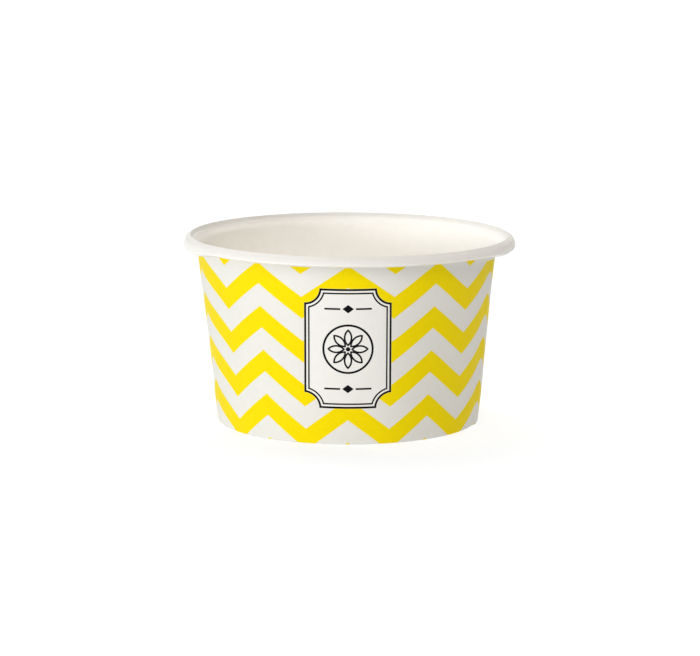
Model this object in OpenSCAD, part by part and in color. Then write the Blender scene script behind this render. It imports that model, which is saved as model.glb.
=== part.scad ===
// Paper dessert cup: a sidewall wound from one fan-shaped board blank, and a
// base disc set up into it.
// The cup stands on z = 0 with its axis on Z. The front of the print faces -Y
// and the side seam faces +X.

/* [Cup] */
// Outside diameter across the rolled rim
rim_d = 75.5; // [70:0.5:80]
// Height from the standing edge to the top of the rim
cup_h = 42.7; // [38:0.1:60]
// Outside diameter of the wall at the standing edge
base_d = 59.7; // [56:0.1:63]
// Thickness of the sidewall board
board_t = 0.35; // [0.25:0.05:0.5]

/* [Rolled rim] */
// Width of the roll, from the mouth to its outermost point
curl_w = 3.55; // [3:0.05:4]
// Height of the roll
curl_h = 2.4; // [2:0.1:2.8]
// Gap between the tucked edge of the roll and the wall
tuck_gap = 0.05; // [0.03:0.01:0.1]

/* [Base] */
// Thickness of the base disc's board
disc_t = 0.35; // [0.25:0.05:0.5]
// Height of the underside of the floor above the standing edge
floor_z = 5.6; // [4:0.1:9]
// Gap between the underside of the floor and the raw edge of the hem
hem_gap = 0.6; // [0.5:0.1:1.5]
// Radius of the bend between the floor and its skirt
floor_bend_r = 0.6; // [0.55:0.05:1]

/* [Side seam] */
// Width of the overlap at mid-height
lap_w = 7; // [4:0.5:10]
// Length of the ramp where the outer layer climbs over the inner one
ramp_w = 2.5; // [1.5:0.5:3]

/* [Hidden] */

$fn = 180;
// Largest turn between two points of a rounded profile, in degrees
arc_step = 7.5;

// Section geometry, in the plane of radius (x) and height (y)
curl_r = curl_h / 2;                     // end radius of the roll
curl_z = cup_h - curl_r;                 // height of the roll's middle
in_c = [rim_d / 2 - curl_w + curl_r, curl_z];  // centre of the roll's mouth end
out_c = [rim_d / 2 - curl_r, curl_z];    // centre of the roll's outer end

// Half-angle of the cone, from the wall's outside being tangent to the roll
base_r = base_d / 2;
reach = norm([in_c[0] - base_r, curl_z]);
slope = acos((curl_r - board_t) / reach) - atan2(curl_z, in_c[0] - base_r);
out_n = [cos(slope), -sin(slope)];       // outward normal of the wall
along = [sin(slope), cos(slope)];        // up the wall

// Distances of the parallel faces from the origin, along out_n
face_out = base_r * cos(slope);          // printed outside of the wall
face_in = face_out - board_t;            // inside of the wall
face_skirt = face_in - disc_t;           // skirt against hem
face_hem = face_skirt - board_t;         // inside of the hem

hem_z = floor_z - hem_gap;               // raw edge of the hem
fold_r = 1.1 * board_t;                  // outside radius of the bottom fold
tail_r = 0.65 * curl_r;                  // tuck of the roll's raw edge

// Point on the face at distance d, at height z
function on_face(d, z) = [(d + z * sin(slope)) / cos(slope), z];

// Points of an arc about c from angle a0 to a1
function arc(c, r, a0, a1) =
    let (n = ceil(abs(a1 - a0) / arc_step))
    [for (i = [0:n]) let (a = a0 + (a1 - a0) * i / n) c + r * [cos(a), sin(a)]];

fold_out_c = on_face(face_out - fold_r, fold_r);
fold_in_c = on_face(face_hem + fold_r, fold_r);
tail_z = curl_z - curl_r + tail_r;
tail_c = on_face(face_out + tuck_gap + tail_r, tail_z);
bend_z = floor_z + disc_t - floor_bend_r;
bend_c = on_face(face_in - floor_bend_r, bend_z);

hem_edge = on_face(face_hem, hem_z);
skirt_z = board_t + 0.15;                // raw edge of the skirt
skirt_edge = on_face(face_in, skirt_z);

// Angles of the seam: the outer layer's raw edge lies on +X
mid_r = base_r + sin(slope) * cup_h / 2;
lap_a = lap_w / mid_r * 180 / PI;
ramp_a = ramp_w / mid_r * 180 / PI;
edge_a = 0;                              // raw edge of the outer layer
start_a = edge_a - lap_a;                // raw edge of the inner layer
// Tilt of the ramp from the wall's tangent, so that it rises one board
ramp_tilt = atan(board_t / ramp_w - ramp_w / (2 * mid_r));
crease_z = curl_z - curl_r + 0.05;

// Section of the wound board: hem, bottom fold, wall and roll in one strip
module sidewall_section()
    polygon(concat(
        [hem_edge],
        arc(fold_in_c, fold_r, 180 - slope, 270),
        arc(fold_out_c, fold_r, 270, 360 - slope),
        arc(in_c, curl_r - board_t, 180 - slope, 90),
        arc(out_c, curl_r - board_t, 90, -90),
        arc(tail_c, tail_r - board_t, 270, 180 - slope),
        arc(tail_c, tail_r, 180 - slope, 270),
        arc(out_c, curl_r, -90, 90),
        arc(in_c, curl_r, 90, 180 - slope),
        [on_face(face_in, board_t),
         on_face(face_skirt, board_t),
         hem_edge + board_t * out_n]));

// Section of the base: floor, bend and down-turned skirt
module base_section()
    polygon(concat(
        [[0, floor_z + disc_t]],
        arc(bend_c, floor_bend_r, 90, -slope),
        [skirt_edge, skirt_edge - disc_t * out_n],
        arc(bend_c, floor_bend_r - disc_t, -slope, 90),
        [[0, floor_z]]));

// Band of the wall between two faces, from height z0 to z1, turned from a0 to a1
module band(d0, d1, z0, z1, a0, a1)
    rotate([0, 0, a0])
        rotate_extrude(angle = a1 - a0)
            polygon([on_face(d0, z0), on_face(d1, z0),
                     on_face(d1, z1), on_face(d0, z1)]);

// Block whose flat face holds the wall's line at angle a on the face at
// distance d, and climbs outward from there. It lies outside that face.
module above_ramp(d, a)
    rotate([0, 0, a])
        translate([d / cos(slope), 0, 0])
            rotate([0, slope, 0])
                rotate([0, 0, -ramp_tilt])
                    translate([0, -30, -10])
                        cube([20, 60, cup_h + 20]);

// Sidewall: one blank with a hem, a rolled rim and a lapped seam
module sidewall()
    color("ivory")
        difference() {
            union() {
                // turned so that the section's start is away from the seam
                rotate([0, 0, 180]) rotate_extrude() sidewall_section();
                // outer layer, proud of the wall by one board
                difference() {
                    band(face_out - 0.15, face_out + board_t, 0, crease_z,
                         start_a - ramp_a - 1, edge_a);
                    above_ramp(face_out, start_a - ramp_a);
                }
            }
            // groove behind the inner layer's raw edge, where the ramp climbs
            difference() {
                band(face_in - 0.3, face_out, floor_z + disc_t, curl_z,
                     start_a - ramp_a - 4, start_a);
                above_ramp(face_in, start_a - ramp_a);
            }
        }

// Base disc: a flat floor with its edge turned down between wall and hem
module base_disc()
    color("white")
        rotate_extrude() base_section();

sidewall();
base_disc();
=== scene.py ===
import math

import bpy
import numpy as np
from mathutils import Matrix, Vector


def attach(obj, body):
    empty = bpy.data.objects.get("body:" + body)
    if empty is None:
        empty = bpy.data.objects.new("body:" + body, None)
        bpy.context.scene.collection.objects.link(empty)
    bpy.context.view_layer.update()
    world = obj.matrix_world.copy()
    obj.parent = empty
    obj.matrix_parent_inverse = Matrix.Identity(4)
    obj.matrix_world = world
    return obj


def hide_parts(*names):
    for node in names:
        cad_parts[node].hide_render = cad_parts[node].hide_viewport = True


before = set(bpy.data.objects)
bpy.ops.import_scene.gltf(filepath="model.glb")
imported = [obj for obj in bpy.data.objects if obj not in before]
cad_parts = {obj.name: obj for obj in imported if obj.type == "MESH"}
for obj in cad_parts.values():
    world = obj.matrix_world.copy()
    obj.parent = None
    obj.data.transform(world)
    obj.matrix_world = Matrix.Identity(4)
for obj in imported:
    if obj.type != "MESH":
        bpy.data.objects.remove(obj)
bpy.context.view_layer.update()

MM = 0.001

# ---------------------------------------------------------------- camera
# Fitted to the picture: 0.70 m away, 9.8 degrees above the horizon, and
# turned by a quarter of a degree.
EYE = Vector((-0.000228, -0.68987, 0.14066))
AIM = Vector((0.000198, 0.0, 0.020907))
cam_data = bpy.data.cameras.new("camera")
cam_data.sensor_width = 36.0
cam_data.lens = 157.5
cam_data.clip_start = 0.05
cam_data.clip_end = 30.0
camera = bpy.data.objects.new("camera", cam_data)
bpy.context.scene.collection.objects.link(camera)
camera.location = EYE
turn = (AIM - EYE).to_track_quat("-Z", "Y").to_matrix() @ Matrix.Rotation(math.radians(0.2755), 3, "Z")
camera.rotation_euler = turn.to_euler("XYZ")
bpy.context.scene.camera = camera

# ---------------------------------------------------------------- dimensions
# In millimetres and degrees, as in the CAD model.
rim_d, cup_h, base_d, board_t = 75.5, 42.7, 59.7, 0.35
curl_w, curl_h, tuck_gap = 3.55, 2.4, 0.05
disc_t, floor_z, hem_gap, floor_bend_r = 0.35, 5.6, 0.6, 0.6
lap_w, ramp_w = 7.0, 2.5


def rad(a):
    return math.radians(a)


def unit(a):
    return np.array([math.cos(rad(a)), math.sin(rad(a))])


curl_r = curl_h / 2
curl_z = cup_h - curl_r
in_c = np.array([rim_d / 2 - curl_w + curl_r, curl_z])
out_c = np.array([rim_d / 2 - curl_r, curl_z])
base_r = base_d / 2
reach = math.hypot(in_c[0] - base_r, curl_z)
slope = math.degrees(
    math.acos((curl_r - board_t) / reach) - math.atan2(curl_z, in_c[0] - base_r)
)
out_n = np.array([math.cos(rad(slope)), -math.sin(rad(slope))])
along = np.array([math.sin(rad(slope)), math.cos(rad(slope))])
face_out = base_r * math.cos(rad(slope))
face_in = face_out - board_t
face_skirt = face_in - disc_t
face_hem = face_skirt - board_t
hem_z = floor_z - hem_gap
fold_r = 1.1 * board_t
tail_r = 0.65 * curl_r


def on_face(d, z):
    return np.array([(d + z * math.sin(rad(slope))) / math.cos(rad(slope)), z])


fold_out_c = on_face(face_out - fold_r, fold_r)
fold_in_c = on_face(face_hem + fold_r, fold_r)
tail_z = curl_z - curl_r + tail_r
tail_c = on_face(face_out + tuck_gap + tail_r, tail_z)
bend_z = floor_z + disc_t - floor_bend_r
bend_c = on_face(face_in - floor_bend_r, bend_z)
skirt_z = board_t + 0.15
mid_r = base_r + math.sin(rad(slope)) * cup_h / 2
lap_a = math.degrees(lap_w / mid_r)
ramp_a = math.degrees(ramp_w / mid_r)

# Azimuths here count from the front (-Y) towards +X. The outer layer of the
# seam ends on +X, at 90.
EDGE_AZ = 90.0
INNER_AZ = EDGE_AZ - lap_a
RAMP_AZ = INNER_AZ - ramp_a


def smooth(x, a, b):
    t = np.clip((np.asarray(x, float) - a) / (b - a), 0, 1)
    return t * t * (3 - 2 * t)


# ---------------------------------------------------------------- sections
class Section:
    """A closed outline in radius and height, with the outward normal, a tag and a path length for each point."""

    def __init__(self):
        self.p, self.n, self.tag = [], [], []

    def point(self, p, n, tag):
        self.p.append(np.asarray(p, float))
        self.n.append(np.asarray(n, float) / np.linalg.norm(n))
        self.tag.append(tag)

    def arc(self, c, r, a0, a1, tag, sign=1.0, step=9.0, ends=(True, True)):
        count = max(1, math.ceil(abs(a1 - a0) / step))
        for i in range(0 if ends[0] else 1, count + (1 if ends[1] else 0)):
            u = unit(a0 + (a1 - a0) * i / count)
            self.point(c + r * u, sign * u, tag)

    def line(self, a, b, n, tag, count, ends=(True, True)):
        a, b = np.asarray(a, float), np.asarray(b, float)
        for i in range(0 if ends[0] else 1, count + (1 if ends[1] else 0)):
            self.point(a + (b - a) * i / count, n, tag)

    def done(self):
        self.p, self.n = np.array(self.p), np.array(self.n)
        step = np.linalg.norm(np.diff(self.p, axis=0), axis=1)
        self.path = np.concatenate([[0], np.cumsum(step)])
        return self


crest_r = 36.2  # radius of the roll's crest


def hooded(p):
    """The roll as it was pressed: it falls away on both sides of a crest, and its outer side hangs."""
    r, z = p[:, 0], p[:, 1]
    away = np.hypot(r - crest_r, 0.05) - 0.05
    outer = away * math.tan(rad(25)) * smooth(z, 40.2, 42.2)
    inner = away * math.tan(rad(20)) * smooth(z, 41.6, 42.6)
    lift = 0.15 * (1 - smooth(z, 40.5, 41.3)) * smooth(r, 34.75, 35.2)
    # the mouth opens out towards the crest
    flare = smooth(z, 39.9, 42.0) * (1 - smooth(r, 34.6, 36.6))
    return p + np.stack([flare, lift - np.where(r > crest_r, outer, inner)], 1)


def sidewall_section():
    s = Section()
    hem_top = on_face(face_hem, hem_z)
    hem_far = hem_top + board_t * out_n
    b = 0.07  # worn corner of a cut edge
    # inside of the hem, down and round the bottom fold, up the outside
    s.line(hem_top - b * along, fold_in_c - fold_r * out_n, -out_n, "hem_in", 7)
    s.arc(fold_in_c, fold_r, 180 - slope, 270, "fold", ends=(False, True))
    s.arc(fold_out_c, fold_r, 270, 360 - slope, "fold", ends=(True, True))
    start = fold_out_c + fold_r * out_n
    stop = in_c - (curl_r - board_t) * np.array([math.cos(rad(slope)), -math.sin(rad(slope))])
    s.line(start, stop - 2.0 * along, out_n, "wall_out", 37, ends=(False, True))
    s.line(stop - 2.0 * along, stop, out_n, "wall_out", 8, ends=(False, True))
    # hidden inside of the roll
    s.arc(in_c, curl_r - board_t, 180 - slope, 90, "roll_hid", -1, 18, (False, True))
    s.arc(out_c, curl_r - board_t, 90, -90, "roll_hid", -1, 18)
    s.arc(tail_c, tail_r - board_t, 270, 180 - slope, "roll_hid", -1, 18)
    # raw edge of the roll's tuck
    s.arc(tail_c, tail_r, 180 - slope, 270, "roll_vis", 1, 12)
    # visible roll, over its crest, and down the inside of the wall
    s.arc(out_c, curl_r, -90, 90, "roll_vis", 1, 7.5)
    for r in (0.22, 0.12, 0.06, 0.02, -0.02, -0.06, -0.12, -0.25, -0.5):
        s.point((crest_r + r, cup_h), (0, 1), "roll_vis")
    s.arc(in_c, curl_r, 90, 180 - slope, "roll_vis", 1, 7.5)
    top_in = in_c - curl_r * np.array([math.cos(rad(slope)), -math.sin(rad(slope))])
    foot_in = on_face(face_in, board_t)
    above = on_face(face_in, floor_z + disc_t)
    s.line(top_in, top_in - 2.0 * along, -out_n, "wall_in", 8, ends=(False, True))
    s.line(top_in - 2.0 * along, above, -out_n, "wall_in", 22, ends=(False, True))
    s.line(above, foot_in, -out_n, "wall_low", 4, ends=(False, True))
    # pocket that holds the skirt, and up the hem
    s.line(foot_in, on_face(face_skirt, board_t), (0, 1), "pocket", 1, ends=(False, True))
    s.line(on_face(face_skirt, board_t), hem_far - b * along, out_n, "hem_out", 3, ends=(False, True))
    s.point(hem_far - b * out_n, out_n + along, "hem_edge")
    s.point(hem_top + b * out_n, along - out_n, "hem_edge")
    s.done()
    # the hidden side of the board moves with the visible side, which keeps most of its thickness
    upper = np.isin(s.tag, ("roll_vis", "roll_hid")) | (s.p[:, 1] > 39.0)
    hidden = np.isin(s.tag, ("roll_hid", "wall_out"))
    facing = s.p - board_t * s.n * hidden[:, None]
    s.p[upper] += (hooded(facing) - facing)[upper]
    return s


def base_section():
    s = Section()
    bottom = 0.12  # how far the floor sags in the middle
    top_n = 16
    edge = bend_c + floor_bend_r * np.array([0.0, 1.0])
    for i in range(1, top_n):
        r = edge[0] * i / top_n
        s.point((r, floor_z + disc_t - bottom * (1 - (r / edge[0]) ** 2) ** 2), (0, 1), "floor_top")
    s.arc(bend_c, floor_bend_r, 90, -slope, "bend", 1, 9)
    skirt_edge = on_face(face_in, skirt_z)
    s.line(bend_c + floor_bend_r * out_n, skirt_edge, out_n, "skirt", 5, ends=(False, True))
    s.line(skirt_edge - disc_t * out_n, bend_c + (floor_bend_r - disc_t) * out_n, -out_n, "skirt", 5)
    s.arc(bend_c, floor_bend_r - disc_t, -slope, 90, "bend", -1, 15, (False, True))
    edge2 = bend_c + (floor_bend_r - disc_t) * np.array([0.0, 1.0])
    for i in range(top_n - 1, 0, -1):
        r = edge2[0] * i / top_n
        s.point((r, floor_z - bottom * (1 - (r / edge2[0]) ** 2) ** 2), (0, -1), "floor_under")
    s.done()
    # a hair of room between the skirt and the board on both its sides
    held = np.isin(s.tag, ("skirt", "bend"))
    s.p[held] -= 0.015 * s.n[held]
    return s


# ---------------------------------------------------------------- shape of the real board
def waver(az, z):
    """Small unevenness of the wound wall, outward, in mm. None at the foot, where the floor holds the wall round."""
    a = np.radians(az)
    h = smooth(z, 8, 24)
    return h * (
        0.05 * np.sin(2 * a + 0.9)
        + 0.035 * np.sin(3 * a + 2.1)
        + 0.02 * np.sin(7 * a + 0.4 + z * 0.05)
        + 0.012 * np.sin(13 * a + 1.7 - z * 0.09)
    ) - 0.06 * h


def uneven(xyz):
    """The cup as it was photographed: under its rim the wall leans to the left, and is a little flat on the right."""
    x, z = xyz[:, 0], xyz[:, 2]
    r = np.hypot(x, xyz[:, 1])
    side = np.clip(x / (base_r + math.tan(rad(slope)) * z), -1, 1)
    left = -0.06 - 0.0175 * z + 0.25 * smooth(z, 5.5, 10.5)
    right = -0.62 - 0.30 * smooth(z, 5, 17) - 0.35 * smooth(z, 16, 34)
    lean = (left + right) / 2 + (right - left) / 2 * side
    roll = np.maximum(smooth(z, 37.9, 41.6), smooth(r, 35.0, 36.0) * smooth(z, 37, 39))
    shift = lean * (1 - roll) + roll * -0.2 * (1 - smooth(r, 34.8, 37.4))
    return xyz + np.stack([shift, 0 * shift, 0 * shift], 1)


def blunted(xyz):
    """The roll's two ends, left and right, which are pressed deeper than its front and have a blunter outer side."""
    x, z = xyz[:, 0], xyz[:, 2]
    r = np.hypot(x, xyz[:, 1])
    end = smooth(np.abs(x) / r, 0.80, 0.96)
    deep = np.where(x < 0, 1.15, 0.80) * smooth(r, 34.9, 36.1) * (1 - smooth(z, 40.4, 42.0))
    full = np.where(x < 0, 0.20, 0.15) * smooth(r, 36.4, 37.5) * smooth(z, 40.7, 41.8)
    return xyz + np.stack([0 * x, 0 * x, end * (full - deep)], 1)


def sweep(name, section, columns, place, materials, seg_mat, chart, closed_row, zz):
    """Makes a mesh from a section and columns. place gives the points of one column. Two columns at one azimuth make a step."""
    rows = len(section.p)
    pts = np.array([place(c) for c in columns])  # column, row, xyz in mm
    n_col = len(columns)
    index = np.arange(n_col * rows).reshape(n_col, rows)
    for j in range(n_col):
        k = (j + 1) % n_col
        if abs((columns[j][0] - columns[k][0] + 180) % 360 - 180) < 1e-9:
            same = np.linalg.norm(pts[j] - pts[k], axis=1) < 1e-5
            if k == 0:
                index[j][same] = index[0][same]
            else:
                index[k][same] = index[j][same]
    verts, faces, mats, uvs = pts.reshape(-1, 3), [], [], []
    last = rows if closed_row else rows - 1
    for j in range(n_col):
        k = (j + 1) % n_col
        step = abs((columns[j][0] - columns[k][0] + 180) % 360 - 180) < 1e-9
        for i in range(last):
            m = (i + 1) % rows
            corners = [(j, i), (k, i), (k, m), (j, m)]
            ids = [index[c] for c in corners]
            keep = [q for q in range(4) if ids[q] != ids[q - 1]]
            if len(set(ids)) < 3:
                continue
            where = chart(section, i, m, columns[j], columns[k], step)
            faces.append([int(ids[q]) for q in keep])
            uvs.append([where[q] for q in keep])
            mats.append(seg_mat(section.tag[i], section.tag[m], step))
    used = sorted({v for f in faces for v in f})
    new = {v: q for q, v in enumerate(used)}
    faces = [[new[v] for v in f] for f in faces]
    return verts[used], faces, mats, uvs, [zz[v % rows] for v in used]


def make_object(name, verts, faces, mats, uvs, zz, materials, sharp=32.0):
    me = bpy.data.meshes.new(name)
    me.from_pydata([tuple(v * MM) for v in verts], [], faces)
    for m in materials:
        me.materials.append(m)
    me.polygons.foreach_set("material_index", mats)
    layer = me.uv_layers.new(name="OFBake", do_init=False)
    layer.uv.foreach_set("vector", np.array([c for f in uvs for c in f], np.float32).ravel())
    height = me.attributes.new("zz", "FLOAT", "POINT")
    height.data.foreach_set("value", np.array(zz, np.float32))
    me.validate()
    me.update()
    me.polygons.foreach_set("use_smooth", [True] * len(me.polygons))
    me.set_sharp_from_angle(angle=rad(sharp))
    ob = bpy.data.objects.new(name, me)
    bpy.context.scene.collection.objects.link(ob)
    return ob


# ---------------------------------------------------------------- materials
class Tree:
    """Short calls for building a node tree."""

    def __init__(self, name):
        self.mat = bpy.data.materials.new(name)
        self.mat.use_nodes = True
        self.t = self.mat.node_tree
        self.t.nodes.clear()
        self.out = self.t.nodes.new("ShaderNodeOutputMaterial")
        self.bsdf = self.t.nodes.new("ShaderNodeBsdfPrincipled")
        self.t.links.new(self.bsdf.outputs[0], self.out.inputs[0])

    def put(self, socket, value):
        if hasattr(value, "is_output"):
            self.t.links.new(value, socket)
        else:
            socket.default_value = value

    def node(self, kind, **props):
        n = self.t.nodes.new(kind)
        for k, v in props.items():
            setattr(n, k, v)
        return n

    def math(self, op, a, b=0.0, c=0.0, clamp=False):
        n = self.node("ShaderNodeMath", operation=op, use_clamp=clamp)
        for s, v in zip(n.inputs, (a, b, c)):
            self.put(s, v)
        return n.outputs[0]

    def step(self, x, edge, soft, rising=True):
        """0 to 1 over edge-soft to edge+soft, or 1 to 0."""
        n = self.node("ShaderNodeMapRange", interpolation_type="SMOOTHSTEP")
        self.put(n.inputs["Value"], x)
        n.inputs["From Min"].default_value = edge - soft
        n.inputs["From Max"].default_value = edge + soft
        n.inputs["To Min"].default_value = 0.0 if rising else 1.0
        n.inputs["To Max"].default_value = 1.0 if rising else 0.0
        return n.outputs[0]

    def mix(self, t, a, b):
        n = self.node("ShaderNodeMix", data_type="RGBA")
        self.put(n.inputs[0], t)
        self.put(n.inputs[6], a)
        self.put(n.inputs[7], b)
        return n.outputs[2]

    def noise(self, vector, scale, detail=2.0, rough=0.5):
        n = self.node("ShaderNodeTexNoise")
        self.put(n.inputs["Vector"], vector)
        n.inputs["Scale"].default_value = scale
        n.inputs["Detail"].default_value = detail
        n.inputs["Roughness"].default_value = rough
        return n.outputs[0]

    def object_mm(self):
        """Place on the object in millimetres."""
        coord = self.node("ShaderNodeTexCoord")
        n = self.node("ShaderNodeVectorMath", operation="SCALE")
        self.put(n.inputs[0], coord.outputs["Object"])
        n.inputs["Scale"].default_value = 1000.0
        return n.outputs[0]

    def bump(self, height, distance_mm, below=None):
        n = self.node("ShaderNodeBump")
        n.inputs["Strength"].default_value = 1.0
        n.inputs["Distance"].default_value = distance_mm * MM
        self.put(n.inputs["Height"], height)
        if below is not None:
            self.put(n.inputs["Normal"], below)
        return n.outputs[0]


WHITE = (0.664, 0.651, 0.605, 1.0)
INSIDE = (0.955, 0.934, 0.880, 1.0)
# painted shade: a darker copy of the inside colour, laid on the rolled rim
ROLL_PAINTED_SHADE = (0.755, 0.735, 0.695, 1.0)
PLAQUE = (0.708, 0.694, 0.658, 1.0)
YELLOW = (0.762, 0.593, 0.001, 1.0)
BLACK = (0.005, 0.005, 0.006, 1.0)
FIBRE = (0.76, 0.70, 0.62, 1.0)


def board_surface(t, place, roughness, spread, fine=1.0):
    """Coated board: a calendered surface with the fibres just showing through the coat."""
    pulp = t.noise(place, 0.55, 3.0, 0.55)      # cloudy formation of the pulp
    fibre_map = t.node("ShaderNodeMapping")
    t.put(fibre_map.inputs["Vector"], place)
    fibre_map.inputs["Scale"].default_value = (1.0, 1.0, 0.45)
    fibre = t.noise(fibre_map.outputs[0], 5.5, 4.0, 0.6)
    peel = t.noise(place, 1.3, 1.0, 0.5)
    n = t.bump(fibre, 0.006 * fine)
    n = t.bump(peel, 0.02 * fine, n)
    n = t.bump(pulp, 0.03 * fine, n)
    t.put(t.bsdf.inputs["Normal"], n)
    r = t.node("ShaderNodeMapRange")
    t.put(r.inputs["Value"], fibre)
    r.inputs["From Min"].default_value = 0.3
    r.inputs["From Max"].default_value = 0.7
    r.inputs["To Min"].default_value = roughness - spread
    r.inputs["To Max"].default_value = roughness + spread
    return pulp, fibre, r.outputs[0]


def shade(t, colour, pulp, amount):
    """Slight cloudiness of the board's white."""
    k = t.node("ShaderNodeMapRange")
    t.put(k.inputs["Value"], pulp)
    k.inputs["From Min"].default_value = 0.3
    k.inputs["From Max"].default_value = 0.7
    k.inputs["To Min"].default_value = 1.0 - amount
    k.inputs["To Max"].default_value = 1.0 + amount
    n = t.node("ShaderNodeMix", data_type="RGBA", blend_type="MULTIPLY")
    n.inputs[0].default_value = 1.0
    t.put(n.inputs[6], colour)
    t.put(n.inputs[7], k.outputs[0])
    return n.outputs[2]


def printed_material():
    t = Tree("printed_board")
    place = t.object_mm()
    xyz = t.node("ShaderNodeSeparateXYZ")
    t.put(xyz.inputs[0], place)
    x, y, z = xyz.outputs
    # azimuth on the print, which starts and ends at the seam on +X. The middle
    # of its front panel lies 0.4 degrees left of -Y.
    az = t.math("ARCTAN2", t.math("MULTIPLY", y, -1.0), t.math("MULTIPLY", x, -1.0))
    az = t.math("ADD", az, rad(0.4 - 90.0))
    attr = t.node("ShaderNodeAttribute", attribute_type="GEOMETRY", attribute_name="zz")
    zz = attr.outputs["Fac"]

    # the pattern is a little wider towards the two sides
    wide = az
    for low, high, at_low, at_high in ((44, 84, 0, -6), (-80, -56, 6, 0)):
        n = t.node("ShaderNodeMapRange", interpolation_type="SMOOTHSTEP")
        t.put(n.inputs["Value"], az)
        n.inputs["From Min"].default_value = rad(low)
        n.inputs["From Max"].default_value = rad(high)
        n.inputs["To Min"].default_value = rad(at_low)
        n.inputs["To Max"].default_value = rad(at_high)
        wide = t.math("ADD", wide, n.outputs[0])

    # zigzag: a triangle wave round the cup, repeated up the wall
    wave = t.math("FRACT", t.math("ADD", t.math("DIVIDE", wide, rad(35.3)), 0.5))
    wave = t.math("ABSOLUTE", t.math("SUBTRACT", wave, 0.5))
    tri = t.math("MULTIPLY_ADD", wave, -4.0, 1.0)
    up = t.math("SUBTRACT", zz, t.math("MULTIPLY_ADD", tri, 3.584, 4.486))
    band = t.math("FRACT", t.math("ADD", t.math("DIVIDE", up, 9.99), 0.5))
    band = t.math("MULTIPLY", t.math("ABSOLUTE", t.math("SUBTRACT", band, 0.5)), 9.99)
    rough_edge = t.noise(place, 3.5, 2.0, 0.6)
    band = t.math("ADD", band, t.math("MULTIPLY_ADD", rough_edge, 0.10, -0.05))
    ink = t.step(band, 2.455, 0.10, rising=False)
    # the ink ends under the roll, and runs down a little towards the seam on both sides
    drop = t.node("ShaderNodeMapRange", interpolation_type="SMOOTHSTEP")
    t.put(drop.inputs["Value"], az)
    drop.inputs["From Min"].default_value = rad(46)
    drop.inputs["From Max"].default_value = rad(76)
    drop.inputs["To Min"].default_value = 0.0
    drop.inputs["To Max"].default_value = 1.95
    past = t.node("ShaderNodeMapRange", interpolation_type="SMOOTHSTEP")
    t.put(past.inputs["Value"], az)
    past.inputs["From Min"].default_value = rad(-270)
    past.inputs["From Max"].default_value = rad(-255)
    past.inputs["To Min"].default_value = 1.1
    past.inputs["To Max"].default_value = 0.0
    top = t.math("ADD", t.math("ADD", zz, drop.outputs[0]), past.outputs[0])
    ink = t.math("MULTIPLY", ink, t.step(top, 40.05, 0.05, rising=False))
    ink = t.math("MULTIPLY", ink, t.step(zz, -3.1, 0.08))

    # plaque: laid out on the flat blank, so its sides are straight there
    sin_s = math.sin(rad(slope))
    far = t.math("MULTIPLY_ADD", zz, 1 / math.cos(rad(slope)), base_r / sin_s)
    turn_ = t.math("MULTIPLY", az, sin_s)
    centre_z = 21.8
    far_c = (base_r + centre_z * math.tan(rad(slope))) / sin_s
    px = t.math("MULTIPLY", far, t.math("SINE", turn_))
    py = t.math("SUBTRACT", t.math("MULTIPLY", far, t.math("COSINE", turn_)), far_c)
    ax, ay = t.math("ABSOLUTE", px), t.math("ABSOLUTE", py)

    def length(a, b):
        return t.math("SQRT", t.math("ADD", t.math("MULTIPLY", a, a), t.math("MULTIPLY", b, b)))

    half_w, half_h, scoop = 9.7, 13.65, 3.4
    box = t.math("MAXIMUM", t.math("SUBTRACT", ax, half_w), t.math("SUBTRACT", ay, half_h))
    corner = length(t.math("SUBTRACT", ax, half_w), t.math("SUBTRACT", ay, half_h))
    plate = t.math("MAXIMUM", box, t.math("SUBTRACT", scoop, corner))

    def line(distance, middle, half, soft=0.045):
        return t.step(t.math("ABSOLUTE", t.math("SUBTRACT", distance, middle)), half, soft, rising=False)

    field = t.step(plate, 0.0, 0.045, rising=False)
    marks = [line(plate, -0.24, 0.24), line(plate, -1.06, 0.18)]

    # rosette in the middle: eight slim petals in a thin ring
    rr = length(px, py)
    ang = t.math("ARCTAN2", py, px)
    sector = t.math("FRACT", t.math("ADD", t.math("DIVIDE", ang, rad(45.0)), 0.5))
    sector = t.math("MULTIPLY", t.math("SUBTRACT", sector, 0.5), rad(45.0))
    sx = t.math("MULTIPLY", rr, t.math("COSINE", sector))
    sy = t.math("ABSOLUTE", t.math("MULTIPLY", rr, t.math("SINE", sector)))
    # a petal is the overlap of two circles, from 0.9 to 4.3 mm out
    petal = t.math("SUBTRACT", length(t.math("SUBTRACT", sx, 2.6), t.math("ADD", sy, 1.55)), 2.3)
    marks.append(line(petal, 0.0, 0.20))
    marks.append(line(rr, 5.4, 0.24))
    marks.append(line(rr, 0.0, 0.5))
    # a rule with a lozenge above and below
    rule = t.math("SUBTRACT", ay, 9.1)
    lozenge = t.math("ADD", t.math("MULTIPLY", ax, 0.75), t.math("ABSOLUTE", rule))
    bar = t.math("MAXIMUM", t.math("SUBTRACT", ax, 5.2), t.math("SUBTRACT", t.math("ABSOLUTE", rule), 0.21))
    gap = t.math("SUBTRACT", 1.7, ax)
    marks.append(t.step(t.math("MAXIMUM", bar, gap), 0.0, 0.045, rising=False))
    marks.append(t.step(lozenge, 0.95, 0.045, rising=False))
    black = marks[0]
    for m in marks[1:]:
        black = t.math("MAXIMUM", black, m)
    black = t.math("MULTIPLY", black, field)
    front = t.math("MULTIPLY", t.step(y, 0.0, 0.5, rising=False), t.step(z, 0.6, 0.1))
    field = t.math("MULTIPLY", field, front)
    black = t.math("MULTIPLY", black, front)

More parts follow.
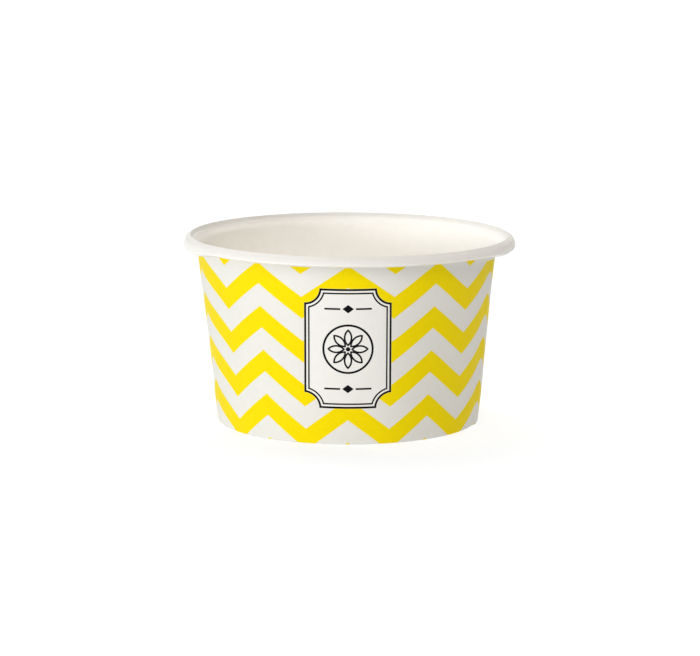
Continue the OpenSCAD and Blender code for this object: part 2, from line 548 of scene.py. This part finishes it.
    pulp, fibre, rough = board_surface(t, place, 0.46, 0.05)
    white = shade(t, WHITE, pulp, 0.012)
    yellow = shade(t, YELLOW, t.noise(place, 1.1, 3.0, 0.6), 0.02)
    colour = t.mix(ink, white, yellow)
    colour = t.mix(field, colour, shade(t, PLAQUE, pulp, 0.012))
    colour = t.mix(black, colour, BLACK)
    t.put(t.bsdf.inputs["Base Color"], colour)
    t.put(t.bsdf.inputs["Roughness"], rough)
    t.bsdf.inputs["Specular IOR Level"].default_value = 0.03
    return t.mat


def food_material():
    t = Tree("coated_inside")
    place = t.object_mm()
    pulp, fibre, rough = board_surface(t, place, 0.40, 0.05)
    # painted shade: from 35.35 mm out, the roll gets a darker copy of the inside's colour, which tones down the rim's
    # band and crest
    xyz = t.node("ShaderNodeSeparateXYZ")
    t.put(xyz.inputs[0], place)
    x, y, z = xyz.outputs
    r = t.math("SQRT", t.math("ADD", t.math("MULTIPLY", x, x), t.math("MULTIPLY", y, y)))
    roll_shade_mask = t.step(r, 35.35, 0.75)
    t.put(t.bsdf.inputs["Base Color"], shade(t, t.mix(roll_shade_mask, INSIDE, ROLL_PAINTED_SHADE), pulp, 0.012))
    t.put(t.bsdf.inputs["Roughness"], rough)
    t.bsdf.inputs["Specular IOR Level"].default_value = 0.25
    return t.mat


def edge_material():
    t = Tree("cut_edge")
    place = t.object_mm()
    stretch = t.node("ShaderNodeMapping")
    t.put(stretch.inputs["Vector"], place)
    stretch.inputs["Scale"].default_value = (1.0, 1.0, 1.0)
    fibre = t.noise(stretch.outputs[0], 9.0, 5.0, 0.7)
    t.put(t.bsdf.inputs["Normal"], t.bump(fibre, 0.05))
    t.put(t.bsdf.inputs["Base Color"], shade(t, FIBRE, fibre, 0.12))
    rough = t.math("MULTIPLY_ADD", fibre, 0.2, 0.75)
    t.put(t.bsdf.inputs["Roughness"], rough)
    t.bsdf.inputs["Specular IOR Level"].default_value = 0.2
    return t.mat


printed = printed_material()
food = food_material()
cut = edge_material()

# ---------------------------------------------------------------- sidewall
wall_sec = sidewall_section()

# Height of each point of the board as if the wall went on straight past the
# bottom fold, for the print that runs on round it.
fold_top = next(i for i, g in enumerate(wall_sec.tag) if g == "wall_out") - 1
wall_zz = np.where(
    np.arange(len(wall_sec.p)) <= fold_top,
    wall_sec.p[fold_top][1] - (wall_sec.path[fold_top] - wall_sec.path) * math.cos(rad(slope)),
    wall_sec.p[:, 1],
)

tags = np.array(wall_sec.tag)
z_row = wall_sec.p[:, 1]
r_row = wall_sec.p[:, 0]

# How much of the second layer shows on each point
layer_w = np.zeros(len(tags))
layer_w[tags == "wall_out"] = 1.0
layer_w[tags == "fold"] = 1.0
layer_w[tags == "hem_in"] = 0.7
hid = np.flatnonzero(tags == "roll_hid")
layer_w[hid] = np.clip(1 - (wall_sec.path[hid] - wall_sec.path[hid[0]]) / 1.2, 0, 1)
# The tuck of the roll is pushed out by the second layer
tuck_w = np.where(
    (tags == "roll_vis") | (tags == "roll_hid"),
    (1 - smooth(r_row, tail_c[0] - 0.3, out_c[0])) * (z_row < curl_z - 0.1),
    0.0,
)
tuck_w = np.where(np.isin(np.arange(len(tags)), hid[: len(hid) // 3]), 0.0, tuck_w)
# How deep the inner layer's edge shows on each point
groove_w = np.zeros(len(tags))
groove_w[tags == "wall_in"] = smooth(z_row[tags == "wall_in"], 5.3, 6.4)
vis = np.flatnonzero(tags == "roll_vis")
groove_w[vis] = 0.12 + 0.88 * smooth(wall_sec.path[vis], wall_sec.path[vis[-1]] - 1.2, wall_sec.path[vis[-1]])


def sidewall_column(c):
    az, outer, inner = c
    a = rad(az)
    p = wall_sec.p + wall_sec.n * (board_t * (outer * layer_w - inner * groove_w))[:, None]
    p = p + np.outer(1.2 * board_t * outer * tuck_w, out_n + 0.15 * along)
    p[:, 1] = np.maximum(p[:, 1], 0.0)
    out = p[:, 0] + waver(az, p[:, 1])
    # ribs that the closing tool leaves in the hem
    ribs = (tags == "hem_in") * 0.05 * (0.5 + 0.5 * np.cos(np.radians(az) * 120)) * smooth(z_row, 0.8, 1.6) * (1 - smooth(z_row, 4.2, 4.8))
    out = out + ribs
    out = np.minimum(out, rim_d / 2)
    return blunted(uneven(np.stack([out * math.sin(a), -out * math.cos(a), p[:, 1]], 1)))


def column_list(step):
    """Azimuth, outer layer's height and inner groove's depth, once round from the outer layer's edge."""
    cols = [(EDGE_AZ, 0.0, 0.0)]
    n = int(round(360 / step))
    for i in range(1, n):
        az = EDGE_AZ + i * step
        if abs(az - 360 - INNER_AZ) < 0.2 or abs(az - 360 - RAMP_AZ) < 0.2:
            continue
        cols.append((az, None, None))
    cols.append((360 + RAMP_AZ, 0.0, 0.0))
    cols.append((360 + INNER_AZ, 1.0, 1.0))
    cols.append((360 + INNER_AZ, 1.0, 0.0))
    cols.append((360 + EDGE_AZ, 1.0, 0.0))
    cols.sort(key=lambda c: (c[0], 0 if c[2] else 1))
    done = []
    for az, outer, inner in cols:
        if outer is None:
            ramp = float(np.clip((az - 360 - RAMP_AZ) / ramp_a, 0, 1))
            if az < 360 + INNER_AZ:
                outer, inner = ramp, ramp
            else:
                outer, inner = 1.0, 0.0
        done.append((az, outer, inner))
    return done


wall_cols = column_list(0.75)

# ---- the bake's map, in pixels of a 1024 image
SIZE = 1024.0
LEFT, WIDE = 6.0, 1012.0
charts = {}


def band_of(name, low, high):
    charts[name] = (low, high)


band_of("front", 6, 316)
band_of("back", 324, 634)
band_of("inside", 642, 822)
band_of("roll", 830, 886)
band_of("hem", 894, 938)
band_of("hidden", 946, 962)
band_of("hidden2", 970, 982)
band_of("step_out", 990, 996)
band_of("step_in", 1006, 1012)

CHART = {
    "wall_out": "front", "fold": "hem", "hem_in": "hem", "roll_hid": "hidden",
    "roll_vis": "roll", "wall_in": "inside", "wall_low": "hidden2",
    "pocket": "hidden2", "hem_out": "hidden2", "hem_edge": "hidden2",
}
path = wall_sec.path
total = path[-1] + np.linalg.norm(wall_sec.p[0] - wall_sec.p[-1])


def seg_chart(sec, i, m):
    """The chart of the strip between two rows, by the row it leads to."""
    return CHART[sec.tag[m]] if sec.tag[m] != "fold" or sec.tag[i] != "wall_out" else "front"


spans = {}
for i in range(len(wall_sec.p)):
    m = (i + 1) % len(wall_sec.p)
    key = seg_chart(wall_sec, i, m) if m else "hidden2"
    a, b = path[i], (path[m] if m else total)
    lo, hi = spans.get(key, (a, b))
    spans[key] = (min(lo, a), max(hi, b))
spans["back"] = spans["front"]


def wall_chart(sec, i, m, c0, c1, step):
    key = seg_chart(sec, i, m) if m else "hidden2"
    p0, p1 = path[i], (path[m] if m else total)
    if step:
        which = "step_out" if abs(c0[0] % 360 - EDGE_AZ) < 1e-6 else "step_in"
        low, high = charts[which]
        u0, u1 = LEFT + WIDE * p0 / total, LEFT + WIDE * p1 / total
        return [(u / SIZE, v / SIZE) for u, v in ((u0, low), (u0, high), (u1, high), (u1, low))]
    a0, a1 = c0[0] - 90, (c1[0] - 90 if c1[0] > c0[0] else 360.0)
    if key == "front":
        if a0 >= 180 - 1e-6:
            a0, a1 = a0 - 180, a1 - 180
            low, high = charts["front"]
        else:
            low, high = charts["back"]
        u0, u1 = LEFT + WIDE * a0 / 180, LEFT + WIDE * a1 / 180
    else:
        low, high = charts[key]
        u0, u1 = LEFT + WIDE * a0 / 360, LEFT + WIDE * a1 / 360
    lo, hi = spans[key]
    v0 = low + (high - low) * (p0 - lo) / (hi - lo)
    v1 = low + (high - low) * (p1 - lo) / (hi - lo)
    return [(u / SIZE, v / SIZE) for u, v in ((u0, v0), (u1, v0), (u1, v1), (u0, v1))]


def wall_mat(tag_i, tag_m, step):
    if step or tag_m == "hem_edge":
        return 2
    if tag_m in ("wall_out", "fold", "hem_in"):
        return 0
    return 1


got = sweep("sidewall_board", wall_sec, wall_cols, sidewall_column, None, wall_mat, wall_chart, True, wall_zz)
sidewall = make_object("sidewall_board", *got, (printed, food, cut))

# ---------------------------------------------------------------- base disc
base_sec = base_section()
base_cols = [(i * 1.5, 0.0, 0.0) for i in range(240)]
base_path = base_sec.path


def base_column(c):
    a = rad(c[0])
    p = base_sec.p
    return uneven(np.stack([p[:, 0] * math.sin(a), -p[:, 0] * math.cos(a), p[:, 1]], 1))


top_rows = base_sec.tag.index("bend")


def base_chart(sec, i, m, c0, c1, step):
    """Discs side by side for the two faces, and a strip for the skirt."""
    a0, a1 = rad(c0[0]), rad(c1[0] if c1[0] > c0[0] else 360.0)
    tag = sec.tag[m] if i < len(sec.p) // 2 else sec.tag[i]
    if tag in ("floor_top", "bend") and sec.n[i][1] > -0.2 and sec.n[m][1] > -0.2 and i < len(sec.p) // 2:
        cx, cy, k = 0.252, 0.252, 0.245 / 30.0
        return [(cx + k * sec.p[q][0] * math.sin(a), cy - k * sec.p[q][0] * math.cos(a)) for q, a in ((i, a0), (i, a1), (m, a1), (m, a0))]
    if tag in ("floor_under", "bend") and i > len(sec.p) // 2:
        cx, cy, k = 0.748, 0.252, 0.245 / 30.0
        return [(cx - k * sec.p[q][0] * math.sin(a), cy - k * sec.p[q][0] * math.cos(a)) for q, a in ((i, a0), (i, a1), (m, a1), (m, a0))]
    lo, hi = base_path[top_rows], base_path[-1]
    v0, v1 = 0.52 + 0.46 * (base_path[i] - lo) / (hi - lo), 0.52 + 0.46 * (base_path[m] - lo) / (hi - lo)
    u0, u1 = 0.01 + 0.98 * a0 / (2 * math.pi), 0.01 + 0.98 * a1 / (2 * math.pi)
    return [(u0, v0), (u1, v0), (u1, v1), (u0, v1)]


def disc_mat(tag_i, tag_m, step):
    return 0


verts, faces, mats, uvs, zz = sweep("base_disc_board", base_sec, base_cols, base_column, None, disc_mat, base_chart, False, base_sec.p[:, 1])
# close the two faces at the middle
rows = len(base_sec.p)
verts = np.concatenate([verts, [[0, 0, base_sec.p[0][1]], [0, 0, base_sec.p[-1][1]]]])
top_i, under_i = len(verts) - 2, len(verts) - 1
zz = list(zz) + [base_sec.p[0][1], base_sec.p[-1][1]]
k = 0.245 / 30.0
for j in range(len(base_cols)):
    q = (j + 1) % len(base_cols)
    a0, a1 = rad(base_cols[j][0]), rad(base_cols[q][0])
    r0, r1 = base_sec.p[0][0], base_sec.p[-1][0]
    faces.append([top_i, q * rows, j * rows])
    uvs.append([(0.252, 0.252), (0.252 + k * r0 * math.sin(a1), 0.252 - k * r0 * math.cos(a1)), (0.252 + k * r0 * math.sin(a0), 0.252 - k * r0 * math.cos(a0))])
    mats.append(0)
    faces.append([under_i, j * rows + rows - 1, q * rows + rows - 1])
    uvs.append([(0.748, 0.252), (0.748 - k * r1 * math.sin(a0), 0.252 - k * r1 * math.cos(a0)), (0.748 - k * r1 * math.sin(a1), 0.252 - k * r1 * math.cos(a1))])
    mats.append(0)
faces, uvs = [f[::-1] for f in faces], [c[::-1] for c in uvs]
base_disc = make_object("base_disc_board", verts, faces, mats, uvs, zz, (food,))

for piece, node, slot in ((sidewall, "sidewall", "printed_board"), (base_disc, "base_disc", "plain_board")):
    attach(piece, "root")
    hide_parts(node)

# ---------------------------------------------------------------- floor
me = bpy.data.meshes.new("floor")
half = 6.0
me.from_pydata([(-half, -half, 0), (half, -half, 0), (half, half, 0), (-half, half, 0)], [], [(0, 1, 2, 3)])
floor = bpy.data.objects.new("floor", me)
bpy.context.scene.collection.objects.link(floor)
ft = Tree("pale_floor")
ft.bsdf.inputs["Base Color"].default_value = (0.45, 0.45, 0.45, 1.0)
ft.bsdf.inputs["Roughness"].default_value = 0.9
ft.bsdf.inputs["Specular IOR Level"].default_value = 0.1
ft.bsdf.inputs["Emission Color"].default_value = (0.98, 1.0, 1.03, 1.0)
ft.bsdf.inputs["Emission Strength"].default_value = 0.64
me.materials.append(ft.mat)

# ---------------------------------------------------------------- light
world = bpy.data.worlds.new("studio")
bpy.context.scene.world = world
world.use_nodes = True
bg = world.node_tree.nodes["Background"]
bg.inputs["Color"].default_value = (1.0, 1.0, 1.0, 1.0)
# a white backdrop that gives hardly any light of its own
seen = world.node_tree.nodes.new("ShaderNodeLightPath")
power = world.node_tree.nodes.new("ShaderNodeMath")
power.operation = "MAXIMUM"
power.inputs[1].default_value = 0.02
world.node_tree.links.new(seen.outputs["Is Camera Ray"], power.inputs[0])
world.node_tree.links.new(power.outputs[0], bg.inputs["Strength"])


def sun(name, az, el, strength, angle, colour=(1.0, 1.0, 1.0)):
    """A broad, even light from the azimuth and elevation given, seen as an angle that wide."""
    d = bpy.data.lights.new(name, "SUN")
    d.energy = strength
    d.angle = rad(angle)
    d.color = colour
    o = bpy.data.objects.new(name, d)
    bpy.context.scene.collection.objects.link(o)
    a, e = rad(az), rad(el)
    source = Vector((math.sin(a) * math.cos(e), -math.cos(a) * math.cos(e), math.sin(e)))
    o.rotation_mode = "QUATERNION"
    o.rotation_quaternion = source.to_track_quat("Z", "Y")
    return o


for az, el, strength, tint in (
    (-60, 4, 1.41, (0.98, 0.99, 1.00)),
    (0, 36, 0.98, (1.00, 0.98, 0.97)),
    (-150, 60, 0.91, (0.99, 1.00, 1.00)),
    (-90, 4, 0.42, (0.95, 0.99, 1.00)),
    (-30, 12, 0.45, (0.98, 0.99, 1.00)),
    (120, 36, 0.42, (1.00, 0.98, 0.94)),
    (180, 12, 0.35, (0.99, 1.00, 1.00)),
    (30, 36, 0.30, (1.00, 0.87, 0.79)),
    (-30, 36, 0.26, (0.97, 1.00, 1.00)),
    (120, 60, 0.23, (1.00, 0.97, 0.90)),
    (-150, 36, 0.23, (0.97, 0.99, 1.00)),
    (150, 12, 0.20, (1.00, 1.00, 0.97)),
    (90, 36, 0.16, (1.00, 0.83, 0.68)),
    (150, 60, 0.15, (1.00, 0.99, 0.91)),
    (-150, 12, 0.09, (0.92, 0.94, 1.00)),
):
    sun("soft_%d_%d" % (az, el), az, el, strength, 14 if el < 10 else 35, tint)

view = bpy.context.scene.view_settings
view.view_transform = "Standard"
view.look = "None"
view.exposure = 0.0
view.gamma = 1.0
